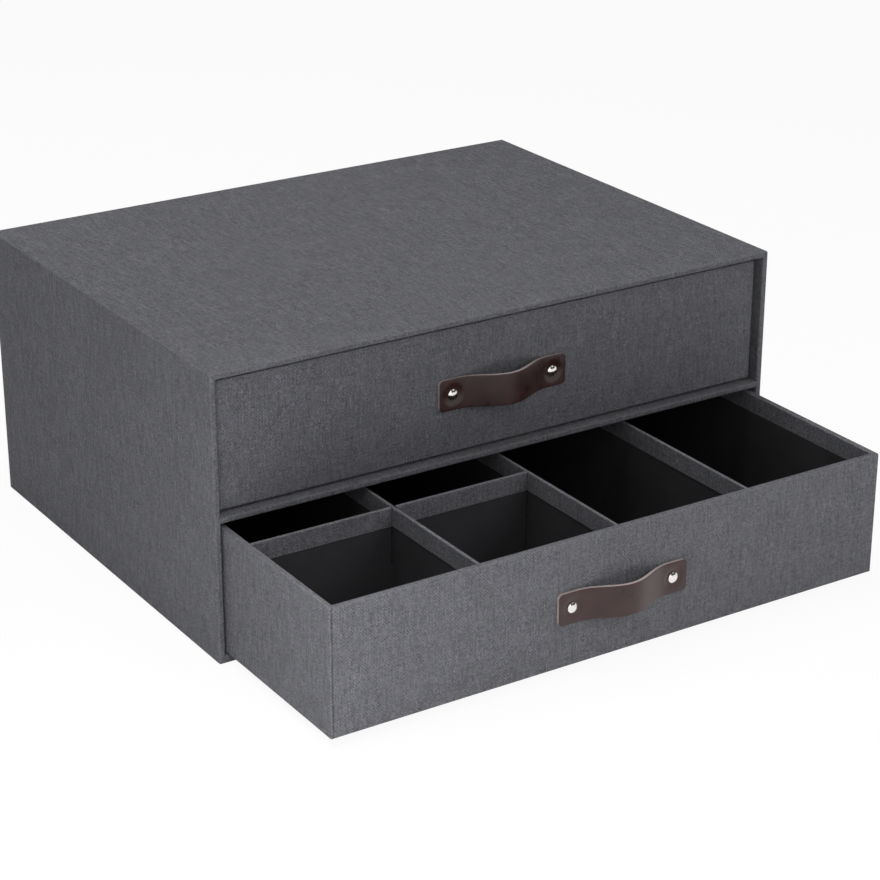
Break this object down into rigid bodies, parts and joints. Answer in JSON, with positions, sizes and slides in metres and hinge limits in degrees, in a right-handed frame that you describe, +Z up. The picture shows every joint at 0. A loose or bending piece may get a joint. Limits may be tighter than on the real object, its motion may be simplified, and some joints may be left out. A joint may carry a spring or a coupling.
{
  "type": "drawer box",
  "caption": "Covered fibreboard desk box with stacked sliding drawers, bowed leather strap handles and a divided lower drawer.",
  "frame": {"origin": "middle of the case's footprint, on the surface that the box stands on", "axes": "+Z up, +X to the right along the front, +Y from the drawer fronts to the back"},
  "size_m": [0.33, 0.3602, 0.15],
  "materials": {
    "board": "raw grey-brown fibreboard",
    "canvas_covering": "matt grey canvas weave",
    "black_lining": "matt black paper",
    "black_board": "matt black card",
    "strap_leather": "smooth dark brown, raw cut edges",
    "nickel": "polished nickel"
  },
  "bodies": {
    "case": {"case_bottom_board": "board", "case_top_board": "board", "case_left_board": "board", "case_right_board": "board", "case_back_board": "board", "shelf_board": "board", "case_covering": "canvas_covering", "case_back_sheet": "canvas_covering", "case_base_sheet": "canvas_covering", "shelf_covering": "canvas_covering", "upper_bay_lining": "black_lining", "lower_bay_lining": "black_lining"},
    "upper_drawer": {"upper_drawer_front_board": "board", "upper_drawer_back_board": "board", "upper_drawer_left_board": "board", "upper_drawer_right_board": "board", "upper_drawer_bottom_board": "board", "upper_drawer_side_covering": "canvas_covering", "upper_drawer_front_covering": "canvas_covering", "upper_drawer_base_sheet": "canvas_covering", "upper_drawer_wall_lining": "black_lining", "upper_drawer_floor_lining": "black_lining", "upper_drawer_strap_handle": "strap_leather", "upper_drawer_handle_rivets": "nickel", "upper_drawer_rivet_caps": "nickel"},
    "lower_drawer": {"lower_drawer_front_board": "board", "lower_drawer_back_board": "board", "lower_drawer_left_board": "board", "lower_drawer_right_board": "board", "lower_drawer_bottom_board": "board", "lower_drawer_side_covering": "canvas_covering", "lower_drawer_front_covering": "canvas_covering", "lower_drawer_base_sheet": "canvas_covering", "lower_drawer_wall_lining": "black_lining", "lower_drawer_floor_lining": "black_lining", "lower_drawer_strap_handle": "strap_leather", "lower_drawer_handle_rivets": "nickel", "lower_drawer_rivet_caps": "nickel", "divider_left_board": "black_board", "divider_left_edging": "canvas_covering", "divider_middle_board": "black_board", "divider_middle_edging": "canvas_covering", "divider_right_board": "black_board", "divider_right_edging": "canvas_covering", "divider_cross_board": "black_board", "divider_cross_edging": "canvas_covering"}
  },
  "joints": [
    {"name": "upper_drawer_slide", "type": "slide", "parent": "case", "child": "upper_drawer", "axis": [0, -1, 0], "range_m": [0, 0.2]},
    {"name": "lower_drawer_slide", "type": "slide", "parent": "case", "child": "lower_drawer", "axis": [0, -1, 0], "range_m": [-0.104, 0.096]}
  ]
}
